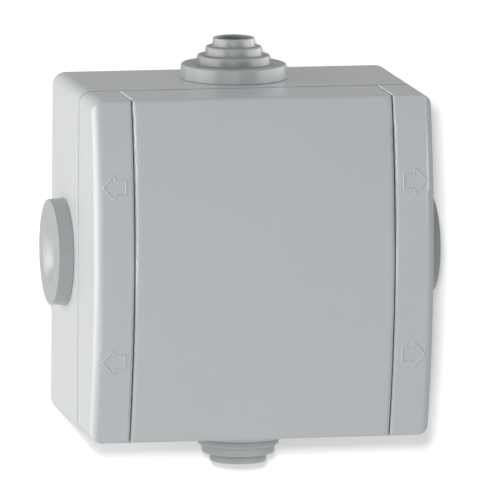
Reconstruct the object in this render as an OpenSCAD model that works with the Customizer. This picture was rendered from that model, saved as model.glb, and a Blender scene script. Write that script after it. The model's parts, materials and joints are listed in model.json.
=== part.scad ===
// Surface-mounted electrical junction box. The base is screwed to a wall and has an opening
// in each of its four sides, filled by a soft cable gland or a blanking plug. A bowed cover
// is held by four corner screws, which two sliding side strips hide.
// Inside the modules X runs to the right, Y up the wall and Z out of the wall.
// upright() turns each piece into the part's own frame: X right, Z up, front towards -Y.

/* [Box] */
// Width of the box across both strips
box_w = 80; // [76:1:110]
// Height of the box
box_h = 80; // [76:1:110]
// Radius of the four corners seen from the front
corner_r = 3; // [2.4:0.2:4]
// Depth of the base from the wall to the parting line
base_depth = 32; // [31:0.5:44]
// Thickness of the base's side walls
wall_t = 2; // [1.8:0.1:2.3]
// Thickness of the base's back wall
back_t = 2.4; // [2.2:0.1:3.2]
// Depth of the shallow relief in the back face
back_relief = 0.6; // [0.4:0.1:1]
// Width of the flat rim and the cross rib on the back face
back_rim = 4; // [3:0.5:6]

/* [Front] */
// Depth from the wall to the front at its top and bottom edges
edge_depth = 48.3; // [47:0.1:64]
// How far the middle of the front bows out past its top and bottom edges
front_bow = 5.2; // [3:0.1:8]
// Thickness of the cover and of the strips
cover_t = 2; // [1.6:0.1:2.3]
// Width of each side strip
strip_w = 9.35; // [9:0.05:11]
// Radius of the upright outer edges of the strips
side_edge_r = 1.8; // [1.4:0.1:3.2]
// Radius of the edges along the seams
seam_edge_r = 0.5; // [0.3:0.1:0.8]
// Radius of the top and bottom front edges
end_edge_r = 0.9; // [0.5:0.1:1.4]
// Gap of the seam between the cover and a strip
seam_gap = 0.22; // [0.18:0.02:0.6]
// Gap of the parting line between the base and the front
parting_gap = 0.7; // [0.3:0.05:0.9]
// How far a strip slides out to show the screws
strip_travel = 9; // [8:0.5:10]

/* [Strip guides] */
// Width of a guide tongue
tongue_w = 10; // [8:0.5:12]
// Thickness of a guide tongue
tongue_t = 1.6; // [1.2:0.1:2]
// Height of each tongue above and below the middle of the box
tongue_y = 16; // [14:0.5:18]
// Length of tongue inside its pocket when the strip is closed
tongue_in = 12; // [11:0.5:14]
// Wall thickness of the pocket around a tongue
pocket_t = 1.2; // [1:0.1:1.6]
// Running clearance around everything that slides
slide_gap = 0.3; // [0.25:0.05:0.4]

/* [Seal] */
// Depth of the gasket seat below the base's rim
seat_drop = 2.6; // [2.4:0.1:3]
// Thickness of the ledge under the gasket
ledge_t = 1.2; // [1:0.1:1.6]
// Width of the cover gasket
gasket_w = 1.9; // [1.6:0.1:2.2]
// Thickness of the cover gasket
gasket_t = 1.4; // [1.2:0.1:1.6]
// Thickness of the cover's sealing rib
rib_t = 1.5; // [1.2:0.1:1.6]
// Height of the cover's shelf above the parting line
shelf_rise = 1; // [0.8:0.1:1.4]
// Thickness of the shelf under the strips
shelf_t = 2; // [1.6:0.1:2.4]

/* [Cover screws] */
// Distance of a cover screw from the two nearest outer sides
screw_inset = 5.8; // [5.6:0.05:6]
// Diameter of the screw shank
shank_d = 3.4; // [2.8:0.1:3.6]
// Diameter of the screw head
head_d = 6.2; // [5.4:0.1:6.4]
// Height of the screw head
head_h = 2.4; // [1.8:0.1:2.8]
// Length of the screw below its head
screw_len = 13; // [11:0.5:15]
// Outer diameter of the screw boss
boss_d = 6.4; // [6:0.1:6.6]
// Thickness of the sealing washer under the head
washer_t = 0.8; // [0.6:0.1:1.2]
// Running clearance on the diameter of a turning screw
turn_fit = 0.1; // [0.06:0.02:0.16]
// Clearance on the diameter of the screw holes in the cover
hole_fit = 0.4; // [0.3:0.1:0.6]
// Width of the cross slots in the screw heads
slot_w = 0.9; // [0.7:0.1:1.1]
// Depth of the cross slots in the screw heads
slot_h = 1.3; // [1:0.1:1.5]

/* [Cable entries] */
// Diameter of the openings in the side walls
entry_d = 20.5; // [19:0.5:21]
// Diameter of the outer flange of glands and plugs
flange_d = 25; // [24:0.5:26]
// Thickness of the outer flange of the upper gland and the right plug
flange_t = 3.4; // [2.8:0.1:4]
// Thickness of the outer flange of the left plug
left_flange_t = 3.6; // [3:0.1:4]
// Thickness of the outer flange of the lower gland
lower_flange_t = 4.3; // [3.4:0.1:4.6]
// How far the lower gland sits to the right of the middle
lower_shift = 1.7; // [0:0.1:2.2]
// Diameter of the lip behind the wall
lip_d = 22.4; // [22:0.1:23]
// Thickness of the lip behind the wall
lip_t = 1.6; // [1.2:0.1:2]
// Height of one step of a gland
step_h = 2.05; // [1.6:0.05:2.6]
// Diameter of the collar step of the lower gland
collar_d = 19.3; // [18.5:0.1:20]
// Diameter of the large step
large_step_d = 17.3; // [16.5:0.1:18]
// Diameter of the middle step
middle_step_d = 13.4; // [12.8:0.1:14]
// Diameter of the small step
small_step_d = 10; // [9.6:0.1:11]
// Wall thickness of the glands
gland_t = 0.8; // [0.6:0.1:1]
// Diameter of the opening in the tip of the upper gland
upper_tip_d = 8.4; // [7.4:0.1:8.6]
// Diameter of the opening in the tip of the lower gland
lower_tip_d = 11; // [10:0.1:11.2]
// Diameter of the dish in the left plug
dish_d = 18; // [16:0.5:21]
// Depth of the dish in the left plug
dish_h = 1.2; // [0.8:0.1:1.8]
// Diameter of the raised cap of the right plug
cap_d = 23.4; // [21:0.2:23.6]
// Height of the raised cap of the right plug
cap_h = 3.9; // [2:0.1:4.4]
// Clearance on the diameter of a gland's neck in its opening
neck_fit = 0.1; // [0.06:0.02:0.2]

/* [Wall fixing] */
// Distance of the wall screw holes from the left and right sides
fix_inset_x = 17; // [16.5:0.5:19]
// Distance of the wall screw holes from the top and bottom
fix_inset_y = 10; // [9:0.5:12]
// Diameter of the wall screw holes
fix_d = 4.5; // [4:0.1:5]
// Diameter of the flat pads around the wall screw holes
fix_pad_d = 11; // [10:0.5:12]

/* [Terminal block] */
// Number of poles in the terminal block
poles = 5; // [3:1:5]
// Spacing of the poles
pole_pitch = 8.2; // [8:0.1:8.4]
// Width of one pole tower
tower_w = 6.8; // [6.6:0.1:7.2]
// Length of a pole tower along the wire
tower_l = 17; // [16:0.5:20]
// Height of a pole tower
tower_h = 12; // [11.5:0.1:14]
// Height of the standing pads under the block
standoff_h = 3; // [2.5:0.1:4]
// Diameter of the standing pads
standoff_d = 7; // [6:0.1:7.2]
// Width of the web that joins the towers
web_l = 9; // [8:0.5:11]
// Height of the web and of the fixing ears
web_h = 3; // [2.4:0.1:3.2]
// Length of each fixing ear
ear_w = 7.2; // [7:0.1:8]
// Width of a brass clamp
clamp_w = 4.6; // [4.2:0.1:4.8]
// Height of a brass clamp
clamp_h = 5; // [4.6:0.1:5.2]
// Length of a brass clamp
clamp_l = 13; // [12:0.5:14]
// Diameter of the wire hole in a clamp
wire_d = 3.4; // [3:0.1:3.6]
// Distance of the terminal screws from the middle of a clamp
terminal_y = 4; // [3.6:0.1:4.4]
// Diameter of a terminal screw's head
terminal_head_d = 4.2; // [3.8:0.1:4.4]
// Diameter of a terminal screw's shank
terminal_shank_d = 2.5; // [2.2:0.1:2.8]
// Clearance around the clamps and the terminal screws
block_gap = 0.1; // [0.06:0.02:0.14]

/* [Hidden] */
$fn = 96;
bow_fn = 360;
cut = 1;
plastic = [0.69, 0.71, 0.72];
strip_tone = [0.70, 0.72, 0.73];
rubber = [0.58, 0.61, 0.60];
dark_rubber = [0.22, 0.23, 0.24];
zinc = [0.72, 0.73, 0.75];
brass = [0.78, 0.62, 0.30];
block_tone = [0.87, 0.86, 0.82];

inner_w = box_w - 2 * wall_t;
inner_h = box_h - 2 * wall_t;
inner_r = corner_r - wall_t + 0.6;
front_depth = edge_depth + front_bow;
bow_r = (box_h * box_h / 4 + front_bow * front_bow) / (2 * front_bow);
bow_z = front_depth - bow_r;
front_z = base_depth + parting_gap;
seat_z = base_depth - seat_drop;
ledge_z = seat_z - ledge_t;
entry_z = (back_t + ledge_z) / 2;
rib_z = seat_z + gasket_t;
shelf_z = base_depth + shelf_rise;
shelf_top = shelf_z + shelf_t;
under_head = shelf_top + washer_t;

screw_x = box_w / 2 - screw_inset;
screw_y = box_h / 2 - screw_inset;
notch_gap = 1;
notch_x = screw_x - boss_d / 2 - notch_gap;
notch_y = screw_y - boss_d / 2 - notch_gap;
seat_margin = 0.2;
gasket_gap = 0.15;
rib_shift = (gasket_w - rib_t) / 2;
ledge_w = gasket_gap + gasket_w + seat_margin;
column_t = 1.5;
column_roof = 2;
pilot_depth = screw_len - washer_t - shelf_t + 1.6;

seam_x = box_w / 2 - strip_w;
dome_x = seam_x - seam_gap / 2;
strip_x = seam_x + seam_gap / 2;
hollow_x = dome_x - cover_t;
hollow_y = box_h / 2 - cover_t;
shelf_x = box_w / 2 - cover_t - slide_gap;
shelf_y = box_h / 2 - cover_t - slide_gap;
rib_x = inner_w / 2 - slide_gap;
rib_y = inner_h / 2 - slide_gap;
edge_over = 0.03;
edge_y = box_h / 2 - end_edge_r;
edge_z = bow_z + sqrt(pow(bow_r - end_edge_r, 2) - edge_y * edge_y);

tongue_z = shelf_top + 5;
tongue_x = strip_x - tongue_in;
pocket_x = tongue_x - slide_gap - pocket_t;

fix_x = box_w / 2 - fix_inset_x;
fix_y = box_h / 2 - fix_inset_y;

block_z = back_t + standoff_h;
row_w = poles * pole_pitch;
ear_x = row_w / 2 + ear_w / 2;
clamp_z = block_z + web_h + 0.5;
clamp_mid = clamp_z + clamp_h / 2;
fixing_d = 2.9;
fixing_head_d = 5.6;
fixing_head_h = 1.8;
fixing_len = web_h + standoff_h + back_t - 2;
fixing_floor = 1.2;
terminal_head_h = 1.8;
terminal_head_z = block_z + tower_h - terminal_head_h - 0.6;
terminal_tip_z = clamp_mid + wire_d / 2 - 0.6;
driver_w = 0.6;
driver_h = 0.8;

// Turns a piece from the wall's view into the part's frame
module upright() {
    rotate([90, 0, 0]) children();
}

// Block between two heights, centred in X and Y
module slab(w, h, z0, z1) {
    translate([-w / 2, -h / 2, z0]) cube([w, h, z1 - z0]);
}

// Upright prism with four round corners
module rounded_prism(w, h, r, z0, z1) {
    slab(w, h - 2 * r, z0, z1);
    slab(w - 2 * r, h, z0, z1);
    for (sx = [-1, 1], sy = [-1, 1])
        translate([sx * (w / 2 - r), sy * (h / 2 - r), z0]) cylinder(r = r, h = z1 - z0);
}

// Area that runs full width and full height but leaves the four screw corners out
module notched_prism(half_w, half_h, arm_x, arm_y, z0, z1) {
    slab(2 * half_w, 2 * arm_y, z0, z1);
    slab(2 * arm_x, 2 * half_h, z0, z1);
}

// Ring that follows the walls and steps inwards round the screw corners
module notched_ring(half_w, half_h, arm_x, arm_y, t, z0, z1) {
    difference() {
        notched_prism(half_w, half_h, arm_x, arm_y, z0, z1);
        notched_prism(half_w - t, half_h - t, arm_x - t, arm_y - t, z0 - cut, z1 + cut);
    }
}

// Section of a bowed bar, with a round edge at each side
module bar_section(x0, x1, r0, r1, top) {
    low = top - 2 * max(r0, r1);
    translate([0, x0]) square([top - max(r0, r1), x1 - x0]);
    translate([0, x0 + r0]) square([top, x1 - r1 - x0 - r0]);
    translate([low, x0]) square([top - r0 - low, x1 - r1 - x0]);
    translate([low, x0 + r0]) square([top - r1 - low, x1 - x0 - r0]);
    translate([top - r0, x0 + r0]) circle(r = r0);
    translate([top - r1, x1 - r1]) circle(r = r1);
}

// Bar from x0 to x1 whose front follows the bow
module bowed_bar(x0, x1, r0, r1) {
    translate([0, 0, bow_z]) rotate([0, 90, 0]) rotate_extrude($fn = bow_fn)
        bar_section(x0, x1, r0, r1, bow_r);
}

// Plain drum that follows the bow at a distance under it
module bowed_drum(x0, x1, under) {
    translate([x0, 0, bow_z]) rotate([0, 90, 0]) cylinder(r = bow_r - under, h = x1 - x0, $fn = bow_fn);
}

// Removes the sharp top or bottom front edge
module end_edge(side) {
    difference() {
        translate([-box_w, min(side * edge_y, side * (edge_y + end_edge_r + cut)), edge_z])
            cube([2 * box_w, end_edge_r + cut, end_edge_r + cut]);
        translate([-box_w - cut, side * edge_y, edge_z]) rotate([0, 90, 0])
            cylinder(r = end_edge_r + edge_over, h = 2 * box_w + 2 * cut);
    }
}

// Repeats a piece at the four screw corners
module at_screws() {
    for (sx = [-1, 1], sy = [-1, 1]) translate([sx * screw_x, sy * screw_y, 0]) children();
}

// Turns a piece that points along Z to one of the four side openings
module at_entry(turn, reach) {
    rotate([0, 0, turn]) translate([0, reach, entry_z]) rotate([-90, 0, 0]) children();
}

// Moves the lower entry to the right of the middle
module to_lower_entry(reach) {
    translate([lower_shift, 0, 0]) at_entry(180, reach) children();
}

// Base: shell, gasket ledge, screw columns and pads for the terminal block
module base_box() {
    color(plastic) upright() difference() {
        union() {
            difference() {
                rounded_prism(box_w, box_h, corner_r, 0, base_depth);
                rounded_prism(inner_w, inner_h, inner_r, back_t, base_depth + cut);
            }
            difference() {
                slab(inner_w + wall_t, inner_h + wall_t, ledge_z, seat_z);
                slab(inner_w - 2 * ledge_w, inner_h - 2 * ledge_w, ledge_z - cut, seat_z + cut);
            }
            screw_columns();
            at_screws() cylinder(d = boss_d, h = shelf_z);
            for (sx = [-1, 1]) translate([sx * ear_x, 0, 0]) cylinder(d = standoff_d, h = block_z);
        }
        column_cores();
        at_screws() translate([0, 0, shelf_z - pilot_depth]) cylinder(d = shank_d + turn_fit, h = pilot_depth + cut);
        for (sx = [-1, 1]) translate([sx * ear_x, 0, fixing_floor])
            cylinder(d = fixing_d + turn_fit, h = block_z);
        for (sx = [-1, 1], sy = [-1, 1]) translate([sx * fix_x, sy * fix_y, -cut])
            cylinder(d = fix_d, h = back_t + 2 * cut);
        at_entry(0, inner_h / 2 - cut) cylinder(d = entry_d, h = wall_t + 2 * cut);
        to_lower_entry(inner_h / 2 - cut) cylinder(d = entry_d, h = wall_t + 2 * cut);
        for (turn = [90, 270]) at_entry(turn, inner_w / 2 - cut) cylinder(d = entry_d, h = wall_t + 2 * cut);
        back_reliefs();
    }
}

// Square columns that carry the gasket past the screw bosses
module screw_columns() {
    column_w = box_w / 2 - wall_t / 2 - (notch_x - gasket_w - seat_margin);
    column_h = box_h / 2 - wall_t / 2 - (notch_y - gasket_w - seat_margin);
    for (sx = [0, 1], sy = [0, 1]) mirror([sx, 0, 0]) mirror([0, sy, 0])
        translate([box_w / 2 - wall_t / 2 - column_w, box_h / 2 - wall_t / 2 - column_h, 0])
            cube([column_w, column_h, seat_z]);
}

// Hollows behind the columns, round the bosses, open to the wall
module column_cores() {
    core_x = notch_x - gasket_w - seat_margin + column_t;
    core_y = notch_y - gasket_w - seat_margin + column_t;
    difference() {
        for (sx = [0, 1], sy = [0, 1]) mirror([sx, 0, 0]) mirror([0, sy, 0])
            translate([core_x, core_y, -cut])
                cube([inner_w / 2 - core_x, inner_h / 2 - core_y, seat_z - column_roof + cut]);
        at_screws() translate([0, 0, -2 * cut]) cylinder(d = boss_d, h = base_depth);
    }
}

// Shallow reliefs that leave a rim, a cross rib and screw pads touching the wall
module back_reliefs() {
    pocket_w = box_w / 2 - 1.5 * back_rim;
    pocket_h = box_h / 2 - 1.5 * back_rim;
    corner_x = notch_x - gasket_w - seat_margin;
    corner_y = notch_y - gasket_w - seat_margin;
    difference() {
        for (sx = [0, 1], sy = [0, 1]) mirror([sx, 0, 0]) mirror([0, sy, 0])
            translate([back_rim / 2, back_rim / 2, -cut]) cube([pocket_w, pocket_h, back_relief + cut]);
        for (sx = [-1, 1], sy = [-1, 1]) translate([sx * fix_x, sy * fix_y, -2 * cut])
            cylinder(d = fix_pad_d, h = back_t + 2 * cut);
        for (sx = [0, 1], sy = [0, 1]) mirror([sx, 0, 0]) mirror([0, sy, 0])
            translate([corner_x, corner_y, -2 * cut]) cube([box_w, box_h, back_t + 2 * cut]);
    }
}

// Cover: bowed hollow middle, shelf under the strips, sealing rib and guide pockets
module cover() {
    color(plastic) upright() difference() {
        union() {
            difference() {
                intersection() {
                    slab(2 * box_w, box_h, front_z, front_depth + cut);
                    bowed_bar(-dome_x, dome_x, seam_edge_r, seam_edge_r);
                }
                intersection() {
                    slab(2 * hollow_x, 2 * hollow_y, front_z - cut, front_depth);
                    bowed_drum(-box_w, box_w, cover_t);
                }
                for (side = [-1, 1]) end_edge(side);
            }
            difference() {
                union() {
                    slab(2 * shelf_x, 2 * shelf_y, shelf_z, shelf_top);
                    slab(2 * dome_x, box_h - cover_t, shelf_z, shelf_top);
                }
                slab(2 * hollow_x, 2 * (rib_y - rib_t), shelf_z - cut, shelf_top + cut);
            }
            notched_ring(rib_x, rib_y, notch_x - rib_shift, notch_y - rib_shift, rib_t, rib_z, shelf_z + shelf_t / 2);
            for (sx = [0, 1], sy = [-1, 1]) mirror([sx, 0, 0]) guide_pocket(sy * tongue_y);
        }
        for (sx = [0, 1], sy = [-1, 1]) mirror([sx, 0, 0]) guide_slot(sy * tongue_y);
        at_screws() translate([0, 0, shelf_z - cut]) cylinder(d = shank_d + hole_fit, h = shelf_t + 2 * cut);
    }
}

// Closed block inside the cover that takes a strip's tongue
module guide_pocket(y) {
    margin = slide_gap + pocket_t;
    translate([pocket_x, y - tongue_w / 2 - margin, tongue_z - margin])
        cube([dome_x - cover_t / 2 - pocket_x, tongue_w + 2 * margin, tongue_t + 2 * margin]);
}

// Slot in which the tongue slides
module guide_slot(y) {
    translate([tongue_x - slide_gap, y - tongue_w / 2 - slide_gap, tongue_z - slide_gap])
        cube([box_w, tongue_w + 2 * slide_gap, tongue_t + 2 * slide_gap]);
}

// Side strip at +X: hollow bowed shell with two guide tongues
module strip() {
    union() {
        difference() {
            intersection() {
                rounded_prism(box_w, box_h, corner_r, front_z, front_depth + cut);
                bowed_bar(strip_x, box_w / 2, seam_edge_r, side_edge_r);
            }
            intersection() {
                slab(box_w - 2 * cover_t, 2 * hollow_y, front_z - cut, front_depth);
                bowed_drum(strip_x - cut, box_w, cover_t);
            }
            for (side = [-1, 1]) end_edge(side);
        }
        for (side = [-1, 1]) translate([tongue_x, side * tongue_y - tongue_w / 2, tongue_z])
            cube([box_w / 2 - cover_t / 2 - tongue_x, tongue_w, tongue_t]);
    }
}

// Left strip, slides to the left
module left_strip() {
    color(strip_tone) upright() mirror([1, 0, 0]) strip();
}

// Right strip, slides to the right
module right_strip() {
    color(strip_tone) upright() strip();
}

// Gasket between the base's ledge and the cover's rib
module cover_gasket() {
    color(dark_rubber) upright()
        notched_ring(inner_w / 2 - gasket_gap, inner_h / 2 - gasket_gap, notch_x, notch_y, gasket_w, seat_z, rib_z);
}

// Outside of a gland: lip, neck in the wall, flange and three steps
module gland_body(t, d1, d2, d3) {
    translate([0, 0, -wall_t - lip_t]) cylinder(d = lip_d, h = lip_t);
    translate([0, 0, -wall_t - lip_t]) cylinder(d = entry_d - neck_fit, h = wall_t + lip_t + t / 2);
    cylinder(d = flange_d, h = t);
    cylinder(d = d1, h = t + step_h);
    cylinder(d = d2, h = t + 2 * step_h);
    cylinder(d = d3, h = t + 3 * step_h);
}

// Stepped hollow of a gland, open at the tip
module gland_bore(t, d1, d2, tip_d) {
    translate([0, 0, -wall_t - lip_t - cut])
        cylinder(d = d1 - 2 * gland_t, h = wall_t + lip_t + cut + t + step_h - gland_t);
    cylinder(d = d2 - 2 * gland_t, h = t + 2 * step_h - gland_t);
    cylinder(d = tip_d, h = t + 3 * step_h + cut);
}

// Soft gland in the top side, open at its small step
module top_gland() {
    color(rubber) upright() at_entry(0, box_h / 2) difference() {
        gland_body(flange_t, large_step_d, middle_step_d, small_step_d);
        gland_bore(flange_t, large_step_d, middle_step_d, upper_tip_d);
    }
}

// Soft gland in the bottom side, cut open at its middle step
module bottom_gland() {
    color(rubber) upright() to_lower_entry(box_h / 2) difference() {
        gland_body(lower_flange_t, collar_d, large_step_d, middle_step_d);
        gland_bore(lower_flange_t, collar_d, large_step_d, lower_tip_d);
    }
}

// Lip, neck and flange that every plug shares, hollow behind
module plug_body(t) {
    floor_t = t - dish_h - gland_t;
    difference() {
        union() {
            translate([0, 0, -wall_t - lip_t]) cylinder(d = lip_d, h = lip_t);
            translate([0, 0, -wall_t - lip_t]) cylinder(d = entry_d - neck_fit, h = wall_t + lip_t + t / 2);
            cylinder(d = flange_d, h = t);
        }
        translate([0, 0, -wall_t - lip_t - cut])
            cylinder(d = large_step_d - 2 * gland_t, h = wall_t + lip_t + cut + floor_t);
    }
}

// Blanking plug in the left side, with a dished face
module left_plug() {
    dish_r = (dish_d * dish_d / 4 + dish_h * dish_h) / (2 * dish_h);
    color(rubber) upright() at_entry(90, box_w / 2) difference() {
        plug_body(left_flange_t);
        translate([0, 0, left_flange_t - dish_h + dish_r]) sphere(r = dish_r);
    }
}

// Blanking plug in the right side, with a raised cap
module right_plug() {
    color(rubber) upright() at_entry(270, box_w / 2) union() {
        plug_body(flange_t);
        translate([0, 0, flange_t / 2]) cylinder(d = cap_d, h = flange_t / 2 + cap_h);
    }
}

// Cover screw with a cross-slotted pan head
module cover_screw(sx, sy) {
    color(zinc) upright() translate([sx * screw_x, sy * screw_y, under_head]) difference() {
        union() {
            cylinder(d = head_d, h = head_h);
            translate([0, 0, -screw_len]) cylinder(d = shank_d, h = screw_len + cut);
        }
        for (turn = [0, 90]) rotate([0, 0, turn]) translate([-0.3 * head_d, -slot_w / 2, head_h - slot_h])
            cube([0.6 * head_d, slot_w, slot_h + cut]);
    }
}

// Sealing washer under a cover screw's head
module screw_washer(sx, sy) {
    color(dark_rubber) upright() translate([sx * screw_x, sy * screw_y, shelf_top]) difference() {
        cylinder(d = head_d, h = washer_t);
        translate([0, 0, -cut]) cylinder(d = shank_d + turn_fit, h = washer_t + 2 * cut);
    }
}

module screw_upper_left() { cover_screw(-1, 1); }
module screw_upper_right() { cover_screw(1, 1); }
module screw_lower_left() { cover_screw(-1, -1); }
module screw_lower_right() { cover_screw(1, -1); }
module washer_upper_left() { screw_washer(-1, 1); }
module washer_upper_right() { screw_washer(1, 1); }
module washer_lower_left() { screw_washer(-1, -1); }
module washer_lower_right() { screw_washer(1, -1); }

// Repeats a piece at every pole of the terminal block
module at_poles() {
    for (i = [0 : poles - 1]) translate([(i - (poles - 1) / 2) * pole_pitch, 0, 0]) children();
}

// Insulating body of the terminal block
module terminal_body() {
    color(block_tone) upright() difference() {
        union() {
            slab(row_w + 2 * ear_w, web_l, block_z, block_z + web_h);
            at_poles() slab(tower_w, tower_l, block_z, block_z + tower_h);
        }
        at_poles() translate([-clamp_w / 2 - block_gap, -tower_l, clamp_z - block_gap])
            cube([clamp_w + 2 * block_gap, 2 * tower_l, clamp_h + 2 * block_gap]);
        at_poles() for (side = [-1, 1]) translate([0, side * terminal_y, clamp_mid])
            cylinder(d = terminal_head_d + 4 * block_gap, h = tower_h);
        for (side = [-1, 1]) translate([side * ear_x, 0, block_z - cut])
            cylinder(d = fixing_d + hole_fit, h = web_h + 2 * cut);
    }
}

// Brass clamps, one in each pole
module terminal_clamps() {
    color(brass) upright() at_poles() difference() {
        slab(clamp_w, clamp_l, clamp_z, clamp_z + clamp_h);
        translate([0, clamp_l, clamp_mid]) rotate([90, 0, 0]) cylinder(d = wire_d, h = 2 * clamp_l);
        for (side = [-1, 1]) translate([0, side * terminal_y, clamp_mid])
            cylinder(d = terminal_shank_d + block_gap, h = clamp_h);
    }
}

// Terminal screws, two in each pole
module terminal_screws() {
    color(zinc) upright() at_poles() for (side = [-1, 1]) translate([0, side * terminal_y, 0]) difference() {
        union() {
            translate([0, 0, terminal_head_z]) cylinder(d = terminal_head_d, h = terminal_head_h);
            translate([0, 0, terminal_tip_z]) cylinder(d = terminal_shank_d, h = terminal_head_z - terminal_tip_z + cut / 2);
        }
        translate([-terminal_head_d, -driver_w / 2, terminal_head_z + terminal_head_h - driver_h])
            cube([2 * terminal_head_d, driver_w, driver_h + cut]);
    }
}

// Screws that hold the terminal block on its pads
module terminal_fixings() {
    color(zinc) upright() for (side = [-1, 1]) translate([side * ear_x, 0, block_z + web_h]) difference() {
        union() {
            cylinder(d = fixing_head_d, h = fixing_head_h);
            translate([0, 0, -fixing_len]) cylinder(d = fixing_d, h = fixing_len + fixing_head_h / 2);
        }
        for (turn = [0, 90]) rotate([0, 0, turn])
            translate([-0.3 * fixing_head_d, -driver_w / 2, fixing_head_h - driver_h])
                cube([0.6 * fixing_head_d, driver_w, driver_h + cut]);
    }
}

base_box();
cover();
left_strip();
right_strip();
cover_gasket();
top_gland();
bottom_gland();
left_plug();
right_plug();
screw_upper_left();
screw_upper_right();
screw_lower_left();
screw_lower_right();
washer_upper_left();
washer_upper_right();
washer_lower_left();
washer_lower_right();
terminal_body();
terminal_clamps();
terminal_screws();
terminal_fixings();
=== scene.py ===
# %% [markdown]
# # A wall-mounted junction box
# This lesson dresses a small electrical junction box: a square grey box with a bowed front, two
# narrow strips that slide aside to uncover the cover screws, soft stepped cable glands above and
# below, and soft blanking plugs left and right. The hard plastic pieces come from the construction
# model, so most of the work here is finish, the soft rubber fittings, the raised arrows and the light.
# Everything is in metres: X runs to the right seen from the front, Z runs up the wall, and the front
# faces -Y. The back of the box lies in the plane Y = 0.

# %% Load the frame
import json
import math

import bmesh
import bpy
from mathutils import Matrix, Vector


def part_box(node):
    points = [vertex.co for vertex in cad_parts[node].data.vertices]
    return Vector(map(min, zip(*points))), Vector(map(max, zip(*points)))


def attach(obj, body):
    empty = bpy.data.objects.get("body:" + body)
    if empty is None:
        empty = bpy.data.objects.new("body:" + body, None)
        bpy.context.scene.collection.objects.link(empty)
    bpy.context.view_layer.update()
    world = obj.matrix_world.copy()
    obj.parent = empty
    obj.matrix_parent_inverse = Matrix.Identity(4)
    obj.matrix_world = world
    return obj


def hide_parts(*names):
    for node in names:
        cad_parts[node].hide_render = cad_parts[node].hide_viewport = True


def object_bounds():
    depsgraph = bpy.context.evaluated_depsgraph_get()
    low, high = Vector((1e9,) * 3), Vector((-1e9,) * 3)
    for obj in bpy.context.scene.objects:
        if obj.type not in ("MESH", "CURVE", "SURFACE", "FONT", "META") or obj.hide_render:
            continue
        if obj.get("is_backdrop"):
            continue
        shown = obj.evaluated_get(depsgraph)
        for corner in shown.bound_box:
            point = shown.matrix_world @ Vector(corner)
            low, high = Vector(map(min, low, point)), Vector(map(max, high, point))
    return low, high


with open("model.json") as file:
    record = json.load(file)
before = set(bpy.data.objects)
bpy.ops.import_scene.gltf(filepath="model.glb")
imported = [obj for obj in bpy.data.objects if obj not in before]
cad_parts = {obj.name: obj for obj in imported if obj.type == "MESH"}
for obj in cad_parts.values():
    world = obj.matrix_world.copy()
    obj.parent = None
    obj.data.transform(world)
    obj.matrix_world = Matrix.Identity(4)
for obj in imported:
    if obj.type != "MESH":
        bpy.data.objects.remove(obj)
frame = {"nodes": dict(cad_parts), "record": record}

bounds_at_load = [[round(value, 6) for value in corner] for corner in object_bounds()]

# %% [markdown]
# ## Millimetres and the box's own sizes
# A maker measures a box like this in millimetres, while Blender's numbers here are metres. One factor,
# `mm`, keeps the two apart. The sizes of the hard pieces are measured on the loaded model instead of
# being typed again, so what is added later sits on them.

# %% Sizes measured on the loaded pieces
mm = 0.001


def in_mm(corners):
    """Corners given in metres, in millimetres for printing."""
    return [[round(value / mm, 2) for value in corner] for corner in corners]


base_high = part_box("base_box")[1]
half_width = base_high.x
half_height = base_high.z
front_depth = -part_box("cover")[0].y
print("box at load, in mm:", in_mm(bounds_at_load))
print(f"shell {2 * half_width / mm:.1f} x {2 * half_height / mm:.1f} mm, {front_depth / mm:.1f} mm deep")

# %% [markdown]
# ## A bench for nodes
# Finishes and Geometry Nodes trees are both graphs of nodes. Wiring each one by hand hides the idea
# behind it, so two small helpers are used. `Value` wraps a socket that carries one number and adds a
# Math node for each operator, which lets a mask be written as `1 - edge * 0.5`. `Bench` holds a tree and
# adds any other node: its type, its settings, and then the values or links of its sockets.

# %% The two helpers
class Value:
    """One number that varies over a piece, with ordinary arithmetic."""

    def __init__(self, bench, socket):
        self.bench = bench
        self.socket = socket

    def _math(self, operation, first, second=None, clamp=False):
        sockets = {0: first} if second is None else {0: first, 1: second}
        node = self.bench.add("ShaderNodeMath", {"operation": operation, "use_clamp": clamp}, sockets)
        return Value(self.bench, node.outputs[0])

    def __add__(self, other):
        return self._math("ADD", self, other)

    def __radd__(self, other):
        return self._math("ADD", other, self)

    def __sub__(self, other):
        return self._math("SUBTRACT", self, other)

    def __rsub__(self, other):
        return self._math("SUBTRACT", other, self)

    def __mul__(self, other):
        return self._math("MULTIPLY", self, other)

    def __rmul__(self, other):
        return self._math("MULTIPLY", other, self)

    def __pow__(self, other):
        return self._math("POWER", self, other)

    def __rpow__(self, other):
        return self._math("POWER", other, self)

    def root(self):
        return self._math("SQRT", self)

    def clamped(self):
        return self._math("ADD", self, 0.0, clamp=True)


class Bench:
    """A node tree with one method that adds a node of any type."""

    def __init__(self, tree):
        self.tree = tree

    def add(self, kind, settings=None, sockets=None):
        node = self.tree.nodes.new(kind)
        for name, setting in (settings or {}).items():
            setattr(node, name, setting)
        for key, given in (sockets or {}).items():
            target = node.inputs[key]
            source = given.socket if isinstance(given, Value) else given
            if isinstance(source, bpy.types.NodeSocket):
                self.tree.links.new(source, target)
            else:
                target.default_value = source
        return node

    def value(self, kind, settings=None, sockets=None, output=0):
        return Value(self, self.add(kind, settings, sockets).outputs[output])

    def link(self, source, target):
        self.tree.links.new(source.socket if isinstance(source, Value) else source, target)


print("helpers ready:", Value.__name__, "and", Bench.__name__)

# %% [markdown]
# ## What every finish shares
# A moulded surface is never quite even. It has broad clouds from the way the melt flowed, a fine grain
# from the tool, and edges that are a little rounded and rubbed paler. The clouds and the grain are noise
# on Object coordinates, so they stay on the piece when it moves. The rounded edge is a Bevel node: it
# bends the normal near an edge without changing the mesh, and how far it bends is also the edge mask.

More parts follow.
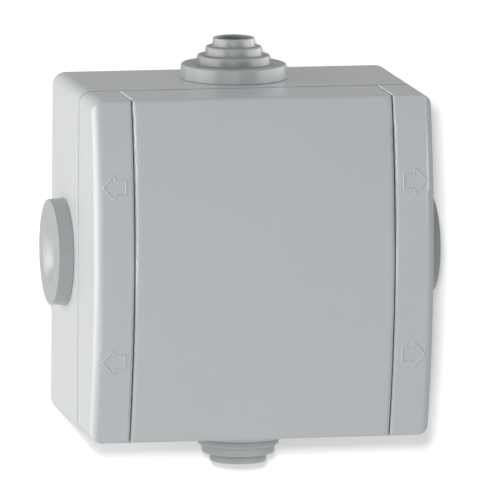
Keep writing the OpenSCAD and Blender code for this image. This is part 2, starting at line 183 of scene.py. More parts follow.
# %% Surface helpers
def start_finish(name):
    """A new material with its shader; returns the material, its bench, the shader and the coordinates."""
    material = bpy.data.materials.new(name)
    material.use_nodes = True
    bench = Bench(material.node_tree)
    shader = material.node_tree.nodes["Principled BSDF"]
    place = bench.add("ShaderNodeTexCoord").outputs["Object"]
    return material, bench, shader, place


def cloud(bench, place, per_metre, seed, detail=2.0, roughness=0.5):
    """Noise from 0 to 1 with about per_metre lumps in a metre."""
    return bench.value(
        "ShaderNodeTexNoise",
        {"noise_dimensions": "4D"},
        {"Vector": place, "W": seed, "Scale": per_metre, "Detail": detail, "Roughness": roughness},
    )


def stretched(bench, place, scale):
    """Coordinates squeezed by a scale along each axis, which draws noise out where the scale is small."""
    return bench.add("ShaderNodeMapping", {}, {"Vector": place, "Scale": scale}).outputs["Vector"]


def grey(level, red=0.0, green=0.0, blue=0.0):
    """A colour near a grey level."""
    return (level + red, level + green, level + blue, 1.0)


def mix_colours(bench, factor, low, high):
    """A colour between low and high."""
    # A Mix node lists its sockets for every data type; these are the places of those for colours.
    factor_in, low_in, high_in, colour_out = 0, 6, 7, 2
    sockets = {factor_in: factor, low_in: low, high_in: high}
    return bench.add("ShaderNodeMix", {"data_type": "RGBA"}, sockets).outputs[colour_out]


print("colour helpers ready")

# %% Edges, hollows and relief
edge_gain, edge_samples, hollow_samples = 5.0, 6, 8


def soft_edges(bench, radius):
    """The normal rounded over edges by radius, and a mask that is 1 where it bends most."""
    rounded = bench.add("ShaderNodeBevel", {"samples": edge_samples}, {"Radius": radius}).outputs["Normal"]
    true_normal = bench.add("ShaderNodeNewGeometry").outputs["Normal"]
    along = bench.value(
        "ShaderNodeVectorMath", {"operation": "DOT_PRODUCT"}, {0: rounded, 1: true_normal}, output="Value"
    )
    return rounded, ((1 - along) * edge_gain).clamped()


def recesses(bench, reach):
    """A mask that is 1 deep in the hollows of a piece and 0 on its open faces."""
    settings = {"samples": hollow_samples, "only_local": True}
    open_share = bench.value("ShaderNodeAmbientOcclusion", settings, {"Distance": reach}, output="AO")
    return (1 - open_share).clamped()


def bump(bench, shader, height, distance, strength, under):
    """A fine relief that feeds the shader's normal, laid over a rounded normal."""
    sockets = {"Height": height, "Distance": distance, "Strength": strength, "Normal": under}
    bench.link(bench.add("ShaderNodeBump", {}, sockets).outputs["Normal"], shader.inputs["Normal"])


print("edge mask gain", edge_gain)

# %% [markdown]
# ## The grey moulded plastic
# The shell and the cover are one light, cool grey plastic with a satin face. It could be one flat colour,
# but then the large plain front would look like a drawing. Two layers of faint cloud move the colour by a
# few parts in a hundred, one of them slightly green and cool, and the edges are a shade paler. The strips
# are moulded in another tool, so they get their own seed and are a touch darker than the shell. The cover's
# edges are softer than the others and catch a wider line of light along the seams. The arrows are thinner
# than the rounding of an edge and need a far smaller one, or they would be shaded flat. Their colour is the
# strips' plastic made a touch lighter: painted light, so the thin beads read as lit.

# %% Moulded plastic
def moulded_plastic(name, level, seed, round_off):
    """Satin plastic near a grey level, with edges rounded by round_off."""
    smoothest, shine = 0.21, 0.7
    material, bench, shader, place = start_finish(name)
    flow = cloud(bench, place, per_metre=38.0, seed=seed, detail=3.0)
    mottle = cloud(bench, place, per_metre=210.0, seed=seed + 3.0, detail=3.0, roughness=0.6)
    grain = cloud(bench, place, per_metre=2300.0, seed=seed + 7.0, detail=2.0, roughness=0.6)
    rounded, edge = soft_edges(bench, round_off)
    darker = grey(level - 0.012, -0.014, 0.012, 0.034)
    lighter = grey(level + 0.010, -0.010, 0.012, 0.030)
    cool_green = grey(level - 0.010, -0.022, 0.016, 0.026)
    pale = grey(level + 0.12, -0.004, 0.008, 0.016)
    body = mix_colours(bench, flow, darker, lighter)
    speckled = mix_colours(bench, mottle * 0.5, body, cool_green)
    bench.link(mix_colours(bench, edge * 0.12, speckled, pale), shader.inputs["Base Color"])
    shader.inputs["Specular IOR Level"].default_value = shine
    bench.link(smoothest + flow * 0.05 + grain * 0.04 - edge * 0.03, shader.inputs["Roughness"])
    bump(bench, shader, grain + mottle * 0.6, distance=0.02 * mm, strength=0.03, under=rounded)
    return material


housing_finish = moulded_plastic("housing_plastic", level=0.640, seed=2.0, round_off=0.7 * mm)
cover_finish = moulded_plastic("cover_plastic", level=0.635, seed=2.0, round_off=1.3 * mm)
strip_finish = moulded_plastic("strip_plastic", level=0.636, seed=11.0, round_off=0.7 * mm)
# Painted light: the arrows are the strips' plastic made a touch lighter, so the thin beads read as lit.
painted_lighter_arrow_finish = moulded_plastic("arrow_plastic_painted_lighter", level=0.660, seed=11.0, round_off=0.05 * mm)
print("made", [made.name for made in (housing_finish, cover_finish, strip_finish, painted_lighter_arrow_finish)])

# %% [markdown]
# ## Soft grey rubber
# The glands and plugs are a softer, darker rubber with a slight green cast. It is a little rougher than the
# plastic, and handling leaves dull smears. The smears are stretched noise, which a Mapping node squeezes
# along one axis. Deep in the steps and in the open tip little light gets about, so a mask of the hollows
# darkens the rubber there. The lower gland gets a lighter copy of the same rubber: painted light, standing
# in for the extra light that reaches it from below.

# %% Gland rubber
def soft_rubber(name, level, seed):
    """Smeared rubber near a grey level, darker in its hollows."""
    smoothest, shine = 0.25, 1.0
    material, bench, shader, place = start_finish(name)
    smear = cloud(bench, stretched(bench, place, (1.0, 1.0, 0.25)), per_metre=260.0, seed=seed)
    bloom = cloud(bench, place, per_metre=70.0, seed=seed + 4.0, detail=3.0)
    grain = cloud(bench, place, per_metre=3000.0, seed=seed + 8.0, detail=1.0)
    rounded, edge = soft_edges(bench, 0.3 * mm)
    hollow = recesses(bench, 9 * mm)
    darker = grey(level - 0.022, -0.014, 0.012, 0.016)
    lighter = grey(level + 0.022, -0.010, 0.012, 0.020)
    handled = grey(level + 0.05, -0.008, 0.010, 0.018)
    pale = grey(level + 0.12, -0.004, 0.008, 0.014)
    deep = grey(level * 0.12, 0.0, 0.002, 0.002)
    body = mix_colours(bench, bloom, darker, lighter)
    smeared = mix_colours(bench, smear * 0.35, body, handled)
    rubbed = mix_colours(bench, edge * 0.25, smeared, pale)
    shaded = mix_colours(bench, (hollow ** 1.5 * 2.5).clamped(), rubbed, deep)
    bench.link(shaded, shader.inputs["Base Color"])
    shader.inputs["Specular IOR Level"].default_value = shine
    bench.link(smoothest + smear * 0.08 + grain * 0.05, shader.inputs["Roughness"])
    bump(bench, shader, grain * 0.6 + smear, distance=0.03 * mm, strength=0.3, under=rounded)
    return material


gland_finish = soft_rubber("gland_rubber_grey", level=0.405, seed=5.0)
# Painted light: the lower gland is the same rubber made lighter, for the extra light that reaches it from
# below.
painted_lighter_gland_finish = soft_rubber("gland_rubber_painted_lighter", level=0.50, seed=8.0)
print("made", gland_finish.name, "and", painted_lighter_gland_finish.name)

# %% [markdown]
# ## The pieces inside
# Behind the cover sit a dark sealing cord, plated steel screws, brass clamps and a cream terminal body.
# They only show when the cover lifts or a strip slides, but each has its own finish: the dark rubber is
# dusty, the plating has brushed streaks and dull patches, the brass is tarnished in patches, and the
# cream plastic is paler along its edges. Picture textures could give this too, but noise needs no picture
# and shows no seam. One function makes both metals, because only their colours and their shine differ.

# %% Dark seal rubber
def dark_rubber(name, seed):
    """Nearly black rubber with dust on it."""
    smoothest = 0.62
    material, bench, shader, place = start_finish(name)
    dust = cloud(bench, place, per_metre=160.0, seed=seed, detail=4.0)
    grain = cloud(bench, place, per_metre=3500.0, seed=seed + 2.0)
    rounded, edge = soft_edges(bench, 0.2 * mm)
    body = mix_colours(bench, dust, grey(0.030, 0.0, 0.0, 0.003), grey(0.062, 0.002, 0.001, 0.0))
    bench.link(mix_colours(bench, edge * 0.4, body, grey(0.110)), shader.inputs["Base Color"])
    bench.link(smoothest + dust * 0.16 + grain * 0.05, shader.inputs["Roughness"])
    bump(bench, shader, grain, distance=0.02 * mm, strength=0.4, under=rounded)
    return material


seal_finish = dark_rubber("seal_rubber_dark", seed=3.0)
print("made", seal_finish.name)

# %% Metals
def worked_metal(name, bright, dull, edge_colour, seed, smoothest):
    """Metal with drawn streaks, dull patches and brighter edges."""
    material, bench, shader, place = start_finish(name)
    shader.inputs["Metallic"].default_value = 1.0
    streak = cloud(bench, stretched(bench, place, (1.0, 0.12, 1.0)), per_metre=4200.0, seed=seed, detail=3.0)
    patch = cloud(bench, place, per_metre=420.0, seed=seed + 5.0, detail=3.0)
    rounded, edge = soft_edges(bench, 0.15 * mm)
    body = mix_colours(bench, patch, bright, dull)
    bench.link(mix_colours(bench, edge * 0.5, body, edge_colour), shader.inputs["Base Color"])
    bench.link(smoothest + streak * 0.12 + patch * 0.14 - edge * 0.06, shader.inputs["Roughness"])
    bump(bench, shader, streak, distance=0.01 * mm, strength=0.3, under=rounded)
    return material


zinc_finish = worked_metal(
    "zinc_plated_steel",
    bright=grey(0.66, 0.0, 0.01, 0.03),
    dull=grey(0.50, 0.01, 0.01, 0.0),
    edge_colour=grey(0.80),
    seed=1.0,
    smoothest=0.24,
)
brass_finish = worked_metal(
    "clamp_brass",
    bright=(0.76, 0.57, 0.27, 1.0),
    dull=(0.56, 0.38, 0.15, 1.0),
    edge_colour=(0.86, 0.70, 0.40, 1.0),
    seed=9.0,
    smoothest=0.22,
)
print("made", zinc_finish.name, "and", brass_finish.name)

# %% Cream terminal plastic
def cream_plastic(name, seed):
    """Cream plastic with faint clouds and paler edges."""
    smoothest = 0.34
    material, bench, shader, place = start_finish(name)
    flow = cloud(bench, place, per_metre=120.0, seed=seed, detail=3.0)
    grain = cloud(bench, place, per_metre=2600.0, seed=seed + 6.0)
    rounded, edge = soft_edges(bench, 0.3 * mm)
    body = mix_colours(bench, flow, (0.70, 0.68, 0.60, 1.0), (0.78, 0.76, 0.69, 1.0))
    bench.link(mix_colours(bench, edge * 0.4, body, (0.86, 0.85, 0.80, 1.0)), shader.inputs["Base Color"])
    bench.link(smoothest + flow * 0.08 + grain * 0.08, shader.inputs["Roughness"])
    bump(bench, shader, grain, distance=0.015 * mm, strength=0.3, under=rounded)
    return material


terminal_finish = cream_plastic("terminal_cream_plastic", seed=6.0)
print("made", terminal_finish.name)

# %% [markdown]
# ## Finishes on the construction pieces
# The record of the model names a material slot for each piece. A table from slot to finish dresses every
# loaded piece in one loop, so no piece can be forgotten. The cover shares the slot of the shell but has its
# softer edges, so a second table, by piece, comes before the first.

# %% Dress the loaded pieces
finish_of_slot = {
    "housing": housing_finish,
    "strip": strip_finish,
    "gland_rubber": gland_finish,
    "seal_rubber": seal_finish,
    "zinc_steel": zinc_finish,
    "brass": brass_finish,
    "terminal_plastic": terminal_finish,
}
finish_of_piece = {"cover": cover_finish}
for subpart in frame["record"]["subparts"]:
    materials = frame["nodes"][subpart["node"]].data.materials
    materials.clear()
    materials.append(finish_of_piece.get(subpart["node"], finish_of_slot[subpart["material_slot"]]))

# %% [markdown]
# ## Trees of Geometry Nodes
# A Geometry Nodes tree is a recipe with named inputs. These helpers start a tree, put it on an object,
# set its inputs by the identifier of each socket, and turn the result into a plain mesh at the origin.
# The plain mesh has its doubles merged and its faces turned outwards, because a swept surface can come
# out inside out.

# %% Helpers that start and end a tree
def start_tree(name, inputs):
    """A new tree; inputs maps a name to a socket type. Returns the tree, its bench and the input node."""
    tree = bpy.data.node_groups.new(name, "GeometryNodeTree")
    tree.interface.new_socket("Geometry", in_out="INPUT", socket_type="NodeSocketGeometry")
    for title, kind in inputs.items():
        tree.interface.new_socket(title, in_out="INPUT", socket_type=kind)
    tree.interface.new_socket("Geometry", in_out="OUTPUT", socket_type="NodeSocketGeometry")
    bench = Bench(tree)
    return tree, bench, bench.add("NodeGroupInput")


def rounded_outline(bench, outline, steps):
    """The curve of a line of points, with each corner rounded by the radius stored at its point."""
    curve = bench.add("GeometryNodeMeshToCurve", {}, {"Mesh": outline})
    corner = bench.add("GeometryNodeInputNamedAttribute", {"data_type": "FLOAT"}, {"Name": "corner"})
    sockets = {
        "Curve": curve.outputs[0],
        "Count": steps,
        "Radius": corner.outputs["Attribute"],
        "Limit Radius": True,
    }
    return bench.add("GeometryNodeFilletCurve", {"mode": "POLY"}, sockets).outputs[0]


def ring(bench, sides, radius):
    """A circle round the origin, made of straight sides."""
    sockets = {"Resolution": sides, "Radius": radius}
    return bench.add("GeometryNodeCurvePrimitiveCircle", {"mode": "RADIUS"}, sockets).outputs[0]


def swept(bench, path, profile):
    """The surface that a profile leaves along a path."""
    return bench.add("GeometryNodeCurveToMesh", {}, {"Curve": path, "Profile Curve": profile}).outputs[0]


def finish_tree(bench, geometry, finish):
    """Ends a tree: smooth faces, real geometry instead of instances, and its material."""
    smooth = bench.add("GeometryNodeSetShadeSmooth", {}, {"Geometry": geometry})
    real = bench.add("GeometryNodeRealizeInstances", {}, {"Geometry": smooth.outputs[0]})
    dressed = bench.add("GeometryNodeSetMaterial", {}, {"Geometry": real.outputs[0], "Material": finish})
    bench.add("NodeGroupOutput", {}, {0: dressed.outputs[0]})


print("tree helpers ready")

# %% From a line of points to a plain mesh
merge_gap, sliver = 0.002 * mm, 0.001 * mm


def outline_object(name, points, closed, corners):
    """A line of points with a corner radius at each one, ready for a tree."""
    count = len(points)
    edges = [(i, i + 1) for i in range(count - 1)] + ([(count - 1, 0)] if closed else [])
    mesh = bpy.data.meshes.new(name)
    mesh.from_pydata(points, edges, [])
    corner = mesh.attributes.new("corner", "FLOAT", "POINT")
    corner.data.foreach_set("value", corners)
    line = bpy.data.objects.new(name, mesh)
    bpy.context.scene.collection.objects.link(line)
    return line


def made_by(tree, line, settings):
    """Runs a tree on a line with its inputs set, and returns a plain mesh object of the same name."""
    modifier = line.modifiers.new("recipe", "NODES")
    modifier.node_group = tree
    identifiers = {item.name: item.identifier for item in tree.interface.items_tree if item.in_out == "INPUT"}
    for title, setting in settings.items():
        modifier[identifiers[title]] = setting
    graph = bpy.context.evaluated_depsgraph_get()
    mesh = bpy.data.meshes.new_from_object(line.evaluated_get(graph))
    line.modifiers.remove(modifier)
    name = line.name
    bpy.data.objects.remove(line)
    work = bmesh.new()
    work.from_mesh(mesh)
    bmesh.ops.remove_doubles(work, verts=work.verts, dist=merge_gap)
    bmesh.ops.dissolve_degenerate(work, dist=sliver, edges=work.edges)
    bmesh.ops.recalc_face_normals(work, faces=work.faces)
    work.to_mesh(mesh)
    open_edges = sum(1 for edge in work.edges if len(edge.link_faces) != 2)
    work.free()
    made = bpy.data.objects.new(name, mesh)
    bpy.context.scene.collection.objects.link(made)
    print(f"{name}: {len(mesh.polygons)} faces, {open_edges} open edges")
    return made


print(f"doubles are merged within {merge_gap / mm} mm")

# %% [markdown]
# ## Soft fittings are turned shapes
# Every gland and plug is round about its own axis, so half of its section tells all of it. The section is
# a line of corners, given as distance from the axis and height above the side wall. The tree rounds each
# corner by its own radius and sweeps the line round a circle, as a lathe would. The circle's own radius is
# taken off each distance first, so a corner on the axis ends up there. Modelling the steps as separate
# cylinders would also work, but the rounded shoulders of soft rubber would then need a bevel on each.

# %% The lathe tree
lathe_radius = 20 * mm


def lathe_tree():
    """A tree that turns a section round its axis and stands the result on a side wall."""
    tree, bench, given = start_tree(
        "turned_rubber",
        {
            "Facets": "NodeSocketInt",
            "Corner steps": "NodeSocketInt",
            "Wall point": "NodeSocketVector",
            "Turn": "NodeSocketVector",
            "Finish": "NodeSocketMaterial",
        },
    )
    section = rounded_outline(bench, given.outputs["Geometry"], given.outputs["Corner steps"])
    body = swept(bench, ring(bench, given.outputs["Facets"], lathe_radius), section)
    stood = bench.add(
        "GeometryNodeTransform",
        {},
        {"Geometry": body, "Translation": given.outputs["Wall point"], "Rotation": given.outputs["Turn"]},
    )
    finish_tree(bench, stood.outputs[0], given.outputs["Finish"])
    return tree


lathe = lathe_tree()
print("lathe tree has", len(lathe.nodes), "nodes")

# %% [markdown]
# ## Sections of the glands and plugs
# A gland is held in the wall like a grommet: a lip behind the wall, a neck in the hole and a wide flange
# in front of it. Three steps then get smaller towards an open tip, and the fitter cuts the tip back to the
# step that grips the cable. The upper gland has the full set of steps, and the lower one starts from a
# wider collar. The plugs share the lip, the neck and the flange. The left one is dished, and the right one
# has a raised cap. Each corner is a distance from the axis, a height over the wall and a rounding.

# %% The gland sections, in millimetres
lip_r, neck_r, flange_r, hollow_r = 11.2, 10.2, 12.5, 7.85
lip_low, wall_in, step, skin, draft = -3.6, -2.0, 2.05, 0.8, 0.07
blunt, soft, eased, tight, crisp, sharp = 0.4, 0.3, 0.2, 0.15, 0.1, 0.0
grip = [(lip_r, lip_low, blunt), (lip_r, wall_in, eased), (neck_r, wall_in, crisp), (neck_r, 0.0, crisp)]


def flange(top, rounding):
    """Corners of a flange that stands top out of the wall, a little narrower at its top."""
    return [(flange_r, 0.0, tight), (flange_r - draft * top, top, rounding)]


def gland_section(top, first_r, second_r, third_r, tip_r):
    """Corners of a stepped gland, from its lip over the steps to the tip and back inside."""
    one, two, three = top + step, top + 2 * step, top + 3 * step
    taper = draft * step
    return (
        [(first_r - skin, lip_low, eased)] + grip + flange(top, blunt)
        + [(first_r, top, soft), (first_r - taper, one, blunt)]
        + [(second_r, one, soft), (second_r - taper, two, blunt)]
        + [(third_r, two, soft), (third_r - taper, three, soft), (tip_r, three, soft)]
        + [(tip_r, two - skin, tight), (second_r - skin, two - skin, tight)]
        + [(second_r - skin, one - skin, tight), (first_r - skin, one - skin, tight)]
    )


upper_gland_section = gland_section(top=3.4, first_r=8.65, second_r=6.7, third_r=5.0, tip_r=4.2)
lower_gland_section = gland_section(top=4.3, first_r=9.65, second_r=8.65, third_r=6.7, tip_r=5.5)
print("corners of the gland sections:", len(upper_gland_section), len(lower_gland_section))

# %% The plug sections: a shallow dish on the left, a flat cap on the right
left_top, dish_r, dish_depth, dish_steps = 3.6, 7.2, 1.9, 10
right_top, cap_r, cap_top, cap_floor = 3.4, 11.7, 7.3, 1.4
ball_r = (dish_r**2 + dish_depth**2) / (2 * dish_depth)


def behind(floor):
    """Corners of the hollow behind a plug, from the axis to the lip."""
    return [(0.0, floor, sharp), (hollow_r, floor, eased), (hollow_r, lip_low, eased)]


def dish(distance):
    """One corner on the dish, a given distance from the axis and rounded only at the edge of the dish."""
    height = left_top - dish_depth + ball_r - math.sqrt(ball_r**2 - distance**2)
    return (distance, height, soft if distance == dish_r else sharp)


left_plug_section = behind(left_top - dish_depth - skin) + grip + flange(left_top, tight)
left_plug_section += [dish(dish_r * share / dish_steps) for share in range(dish_steps, -1, -1)]
right_plug_section = behind(cap_floor) + grip + flange(right_top, tight)
right_plug_section += [(cap_r, right_top, eased), (cap_r, cap_top, soft), (0.0, cap_top, sharp)]
print("corners of the plug sections:", len(left_plug_section), len(right_plug_section))

# %% Turn them on the lathe
facets, corner_steps = 96, 4


def turned(name, node, section, closed, wall_point, turn, finish):
    """Turns a section into a soft piece that stands for a node, and prints the box of both."""
    points = [(r * mm - lathe_radius, -h * mm, 0.0) for r, h, _ in section]
    corners = [c * mm for _, _, c in section]
    line = outline_object(name, points, closed, corners)
    settings = {
        "Facets": facets, "Corner steps": corner_steps,
        "Wall point": wall_point, "Turn": turn, "Finish": finish,
    }
    piece = made_by(lathe, line, settings)
    flats = piece.modifiers.new("even_flats", "WEIGHTED_NORMAL")
    flats.keep_sharp = True
    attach(piece, "base")
    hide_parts(node)
    places = [vertex.co for vertex in piece.data.vertices]
    low = [min(place[axis] for place in places) for axis in range(3)]
    high = [max(place[axis] for place in places) for axis in range(3)]
    print(" made", in_mm((low, high)))
    print(" node", in_mm(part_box(node)))
    return piece


top_low, top_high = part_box("top_gland")
bottom_low, bottom_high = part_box("bottom_gland")
entry_y = (top_low.y + top_high.y) / 2
lower_x = (bottom_low.x + bottom_high.x) / 2
quarter = math.pi / 2
upper_gland = turned(
    "upper_gland_soft", "top_gland", upper_gland_section, closed=True,
    wall_point=(0, entry_y, half_height), turn=(0, 0, 0), finish=gland_finish,
)
lower_gland = turned(
    "lower_gland_soft", "bottom_gland", lower_gland_section, closed=True,
    wall_point=(lower_x, entry_y, -half_height), turn=(2 * quarter, 0, 0), finish=painted_lighter_gland_finish,
)
left_plug = turned(
    "left_plug_soft", "left_plug", left_plug_section, closed=False,
    wall_point=(-half_width, entry_y, 0), turn=(0, -quarter, 0), finish=gland_finish,
)
turned(
    "right_plug_soft", "right_plug", right_plug_section, closed=False,
    wall_point=(half_width, entry_y, 0), turn=(0, quarter, 0), finish=gland_finish,
)

# %% [markdown]
# ## Raised arrows on the strips
# Each strip carries two outline arrows that show which way it slides. They are thin beads standing up from
# the moulding, all alike, so one outline is copied to two heights on the strip and mirrored for the other
# side. The strip's face is part of a cylinder, so the outline is first laid out flat and then each point is
# pushed to the bowed face before the bead is swept along it. A Shrinkwrap would do the same by search,
# but the bow is a plain circle and its height can be written down.

# %% The bow of the front
bow_rise = 5.2 * mm
bow_radius = (half_height**2 + bow_rise**2) / (2 * bow_rise)
bow_axis_y = bow_radius - front_depth
print(f"front bowed on a radius of {bow_radius / mm:.1f} mm about Y = {bow_axis_y / mm:.2f} mm")

# %% The arrow tree
ease_steps, point_gap, bead_sides = 2, 0.25 * mm, 10


def arrow_tree():
    """A tree that copies an outline to two heights, bends it to the front and makes a bead of it."""
    tree, bench, given = start_tree(
        "raised_arrows",
        {
            "Height on strip": "NodeSocketFloat",
            "Side": "NodeSocketFloat",
            "Bead": "NodeSocketFloat",
            "Bow radius": "NodeSocketFloat",
            "Bow axis": "NodeSocketFloat",
            "Finish": "NodeSocketMaterial",
        },
    )
    outline = rounded_outline(bench, given.outputs["Geometry"], ease_steps)
    spacing = {"Curve": outline, "Length": point_gap}
    split = bench.add("GeometryNodeResampleCurve", {"mode": "LENGTH"}, spacing)
    height = Value(bench, given.outputs["Height on strip"])
    lowest = bench.add("ShaderNodeCombineXYZ", {}, {"Z": height * -1.0})
    apart = bench.add("ShaderNodeCombineXYZ", {}, {"Z": height * 2.0})
    places = bench.add(
        "GeometryNodeMeshLine",
        {"mode": "OFFSET"},
        {"Count": 2, "Start Location": lowest.outputs[0], "Offset": apart.outputs[0]},
    )
    copies = bench.add(
        "GeometryNodeInstanceOnPoints", {}, {"Points": places.outputs[0], "Instance": split.outputs[0]}
    )
    lines = bench.add("GeometryNodeRealizeInstances", {}, {"Geometry": copies.outputs[0]})
    position = bench.add("GeometryNodeInputPosition")
    spot = bench.add("ShaderNodeSeparateXYZ", {}, {"Vector": position.outputs[0]})
    x, z = Value(bench, spot.outputs["X"]), Value(bench, spot.outputs["Z"])
    radius, axis = Value(bench, given.outputs["Bow radius"]), Value(bench, given.outputs["Bow axis"])
    side, bead = Value(bench, given.outputs["Side"]), Value(bench, given.outputs["Bead"])
    on_bow = axis - (radius * radius - z * z).root()
    laid = bench.add("ShaderNodeCombineXYZ", {}, {"X": x * side, "Y": on_bow, "Z": z})
    bent = bench.add(
        "GeometryNodeSetPosition", {}, {"Geometry": lines.outputs[0], "Position": laid.outputs[0]}
    )
    beads = swept(bench, bent.outputs[0], ring(bench, bead_sides, bead * 0.5))
    finish_tree(bench, beads, given.outputs["Finish"])
    return tree


arrows = arrow_tree()
print("arrow tree has", len(arrows.nodes), "nodes")

# %% Lay the arrows on both strips, in millimetres
tail_x, barb_x, tip_x, shaft_half, head_half = 32.7, 35.3, 38.1, 1.7, 3.1
arrow_height, bead_width, corner_ease = 20.3, 0.36, 0.18
arrow_points = [
    (tail_x, -shaft_half), (barb_x, -shaft_half), (barb_x, -head_half), (tip_x, 0.0),
    (barb_x, head_half), (barb_x, shaft_half), (tail_x, shaft_half),
]
for side, body in ((-1.0, "left_strip"), (1.0, "right_strip")):
    points = [(x * mm, 0.0, z * mm) for x, z in arrow_points]
    corners = [corner_ease * mm] * len(points)
    line = outline_object(f"{body}_arrows", points, closed=True, corners=corners)
    settings = {
        "Height on strip": arrow_height * mm, "Side": side, "Bead": bead_width * mm,
        "Bow radius": bow_radius, "Bow axis": bow_axis_y, "Finish": painted_lighter_arrow_finish,
    }
    piece = made_by(arrows, line, settings)
    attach(piece, body)

# %% [markdown]
# ## The stage
# The box hangs on a wall, so a plain pale wall stands just behind it and a plain pale floor lies below.
# The wall glows a little, as a lit studio sheet does, and takes a soft shadow from the box. It is only
# there for the camera: it throws no light and no shadow on the box, and from behind it is clear, so the
# back of the box can be looked at too. A curved backdrop is the more usual choice, but it would lie too far
# behind the box to take that shadow. The surroundings light everything evenly, and they look brighter to
# the camera than they are.

# %% The floor
floor_z, floor_half = -300 * mm, 4.0


def flat_sheet(name, corners, material):
    """A four-cornered sheet of the stage."""
    mesh = bpy.data.meshes.new(name)
    mesh.from_pydata(corners, [], [(0, 1, 2, 3)])
    mesh.materials.append(material)
    sheet = bpy.data.objects.new(name, mesh)
    bpy.context.scene.collection.objects.link(sheet)
    sheet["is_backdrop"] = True
    return sheet


floor_paint = bpy.data.materials.new("pale_floor")
floor_paint.use_nodes = True
floor_shader = floor_paint.node_tree.nodes["Principled BSDF"]
floor_shader.inputs["Base Color"].default_value = grey(0.80)
floor_shader.inputs["Roughness"].default_value = 0.9
floor_shader.inputs["Emission Color"].default_value = grey(1.0)
floor_shader.inputs["Emission Strength"].default_value = 0.10
floor_corners = [
    (-floor_half, -floor_half, floor_z), (floor_half, -floor_half, floor_z),
    (floor_half, floor_half, floor_z), (-floor_half, floor_half, floor_z),
]
flat_sheet("floor", floor_corners, floor_paint)
print(f"floor at Z = {floor_z / mm:.0f} mm")

# %% The wall
wall_y, wall_half, wall_top = 0.3 * mm, 1.2, 1.2
wall_paint = bpy.data.materials.new("lit_wall")
wall_paint.use_nodes = True
wall_bench = Bench(wall_paint.node_tree)
wall_paint.node_tree.nodes.remove(wall_paint.node_tree.nodes["Principled BSDF"])
wall_glow = wall_bench.add("ShaderNodeEmission", {}, {"Color": grey(1.0), "Strength": 0.22})
wall_matt = wall_bench.add("ShaderNodeBsdfDiffuse", {}, {"Color": grey(0.72)})
wall_both = wall_bench.add("ShaderNodeAddShader", {}, {0: wall_glow.outputs[0], 1: wall_matt.outputs[0]})
wall_clear = wall_bench.add("ShaderNodeBsdfTransparent")
wall_behind = wall_bench.add("ShaderNodeNewGeometry").outputs["Backfacing"]
wall_mix = wall_bench.add(
    "ShaderNodeMixShader", {}, {0: wall_behind, 1: wall_both.outputs[0], 2: wall_clear.outputs[0]}
)
wall_bench.link(wall_mix.outputs[0], wall_paint.node_tree.nodes["Material Output"].inputs["Surface"])
wall_corners = [
    (-wall_half, wall_y, floor_z), (wall_half, wall_y, floor_z),
    (wall_half, wall_y, wall_top), (-wall_half, wall_y, wall_top),
]
wall = flat_sheet("wall", wall_corners, wall_paint)
wall.visible_diffuse = False
wall.visible_glossy = False
wall.visible_transmission = False
wall.visible_shadow = False
print(f"wall {wall_y / mm:.1f} mm behind the box")

# %% The surroundings
even_light, extra_when_seen = 0.44, 0.50
world = bpy.data.worlds.new("studio")
bpy.context.scene.world = world
world.use_nodes = True
world_bench = Bench(world.node_tree)
seen = world_bench.value("ShaderNodeLightPath", output="Is Camera Ray")
background = world.node_tree.nodes["Background"]
background.inputs["Color"].default_value = grey(1.0, -0.01, -0.005, 0.0)
world_bench.link(even_light + seen * extra_when_seen, background.inputs["Strength"])
print("surroundings of strength", even_light)

# %% [markdown]
# ## Light
# The photograph has the look of a small white tent with a row of tall soft boxes on its left. The tent is
# the even surround made above: it lights the top, the front and the right edge alike. The three boxes on
# the left, side by side from front to rear, make the left wall the brightest face and run as a white line
# down the rounded front edge and the left of the upper gland. A weak box near the camera fills in. One
# very large lamp would do for the wall, but three can be balanced until each face has its own brightness.
# They are a touch warm, which takes the blue out of the plastic on the left wall and leaves it on the front.

# %% Soft lights
near, far = 1.3, 1.6
white, warm = (1.0, 1.0, 1.0), (1.0, 0.968, 0.950)


def soft_box(name, direction, distance, width, height, power, tint=white):
    """A rectangular light that faces the origin from a direction and a distance in metres."""
    lamp = bpy.data.lights.new(name, "AREA")
    lamp.shape = "RECTANGLE"
    lamp.size = width
    lamp.size_y = height
    lamp.energy = power
    lamp.color = tint
    stand = bpy.data.objects.new(name, lamp)
    aim = Vector(direction).normalized()
    stand.location = aim * distance
    stand.rotation_euler = aim.to_track_quat("Z", "Y").to_euler()
    bpy.context.scene.collection.objects.link(stand)
    print(f"{name}: {power} W from {[round(v, 2) for v in aim]}")
    return stand


left_lamps = [
    soft_box("left_front_lamp", (-0.878, -0.467, 0.105), near, width=0.55, height=0.9, power=4.4, tint=warm),
    soft_box("left_side_lamp", (-0.994, -0.035, 0.105), near, width=0.60, height=0.9, power=5.2, tint=warm),
    soft_box("left_rear_lamp", (-0.861, 0.497, 0.105), near, width=0.80, height=0.9, power=4.0, tint=warm),
]
front_lamp = soft_box("front_lamp", (-0.259, -0.965, 0.035), far, width=1.0, height=0.5, power=2.0)

# %% [markdown]
# ## Lamps with a chosen reach
# In the photograph the upper gland has a bright band on its right, while the plug below it stays dark. The
# lower gland is lit evenly, as if a card kept the boxes on the left from it. Thin lines of light run down
# the right edge and beside the seams, the dish of the left plug holds a small bright patch, and the object
# has a soft, narrow shadow on its right and below it. Lamps that light everything can't give all of these.
# Light Linking can: it names the pieces that a lamp reaches or leaves out, and every piece still blocks its
# light. The lamps for the lines and the patch are also hidden from diffuse rays, so they show as
# reflections and don't brighten whole faces.

# %% Helpers for Light Linking
def reach_only(stand, piece):
    """Lets a lamp light one piece and nothing else."""
    chosen = bpy.data.collections.new(f"lit_by_{stand.name}")
    chosen.objects.link(piece)
    stand.light_linking.receiver_collection = chosen
    print(f" {stand.name} reaches {piece.name} only")


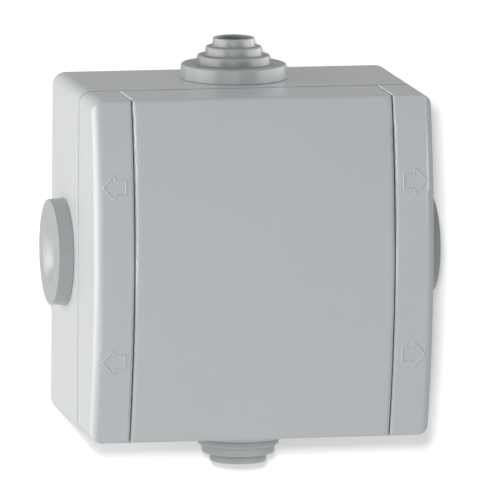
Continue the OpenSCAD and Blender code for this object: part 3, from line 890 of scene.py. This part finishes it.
def glint_only(stand, piece):
    """Lets a lamp show as a reflection in one piece and nothing else."""
    stand.visible_diffuse = False
    reach_only(stand, piece)


def keep_off(stand, piece):
    """Lets a lamp light everything but one piece."""
    left_out = bpy.data.collections.new(f"not_lit_by_{stand.name}")
    left_out.objects.link(piece)
    left_out.collection_objects[0].light_linking.link_state = "EXCLUDE"
    stand.light_linking.receiver_collection = left_out
    print(f" {stand.name} leaves out {piece.name}")


for stand in left_lamps:
    keep_off(stand, lower_gland)
keep_off(front_lamp, left_plug)

# %% Lamps for one piece each
gland_lamp = soft_box("gland_lamp", (0.992, -0.070, 0.105), near, width=2.4, height=0.9, power=19.0)
reach_only(gland_lamp, upper_gland)
lower_gland_lamp = soft_box(
    "lower_gland_lamp", (0.500, -0.860, -0.105), far, width=1.0, height=0.5, power=6.0
)
reach_only(lower_gland_lamp, lower_gland)
edge_lamp = soft_box("edge_lamp", (0.498, -0.862, 0.096), near, width=0.06, height=0.35, power=2.5)
glint_only(edge_lamp, frame["nodes"]["right_strip"])
wall_lamp = soft_box("wall_lamp", (-0.213, -0.955, 0.205), far, width=0.10, height=0.10, power=18.5)
reach_only(wall_lamp, wall)

# %% Lines of light beside the seams, and the patch in the dish
seam_side, lip_side = (-0.943, -0.178, -0.145), (-0.148, 0.967, 0.195)
for node, seam_power, lip_power in (("cover", 26.0, 0.7), ("right_strip", 14.0, 1.15)):
    seam_lamp = soft_box(f"{node}_seam_lamp", seam_side, near, width=0.2, height=0.8, power=seam_power)
    lip_lamp = soft_box(f"{node}_lip_lamp", lip_side, near, width=0.3, height=0.2, power=lip_power)
    glint_only(seam_lamp, frame["nodes"][node])
    glint_only(lip_lamp, frame["nodes"][node])
dish_lamp = soft_box("dish_lamp", (-0.72, 0.69, 0.020), near, width=0.6, height=0.14, power=0.65)
glint_only(dish_lamp, left_plug)

# %% [markdown]
# ## Camera
# The photograph was taken from a long way off with a long lens, a little from the left and a little from
# above, so upright edges stay nearly parallel. The yaw, pitch and roll below were fitted to the corners of
# the front. Building the camera's axes from them is plainer than aiming a constraint.

# %% The camera at the photograph's angle
yaw, pitch, roll = math.radians(11.785), math.radians(8.924), math.radians(-0.411)
target = Vector((2.20, -25.0, 0.77)) * mm
distance = 2920 * mm
focal_pixels, image_pixels = 12542.0, 500.0
forward = Vector((math.sin(yaw) * math.cos(pitch), math.cos(yaw) * math.cos(pitch), -math.sin(pitch)))
level_right = Vector((math.cos(yaw), -math.sin(yaw), 0.0))
level_down = forward.cross(level_right)
right = math.cos(roll) * level_right + math.sin(roll) * level_down
down = math.cos(roll) * level_down - math.sin(roll) * level_right
lens = bpy.data.cameras.new("camera")
lens.sensor_width = 36.0
lens.lens = focal_pixels / image_pixels * lens.sensor_width
camera = bpy.data.objects.new("camera", lens)
camera_axes = Matrix((right, -down, -forward)).transposed().to_4x4()
camera.matrix_world = Matrix.Translation(target - distance * forward) @ camera_axes
bpy.context.scene.collection.objects.link(camera)
bpy.context.scene.camera = camera
bpy.context.scene.view_settings.view_transform = "Standard"
print(f"camera {distance:.2f} m away with a {lens.lens:.0f} mm lens")

# %% Print the sizes, and finish
bounds_at_end = [[round(value, 6) for value in corner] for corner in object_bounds()]
print("box at the end, in mm:", in_mm(bounds_at_end))
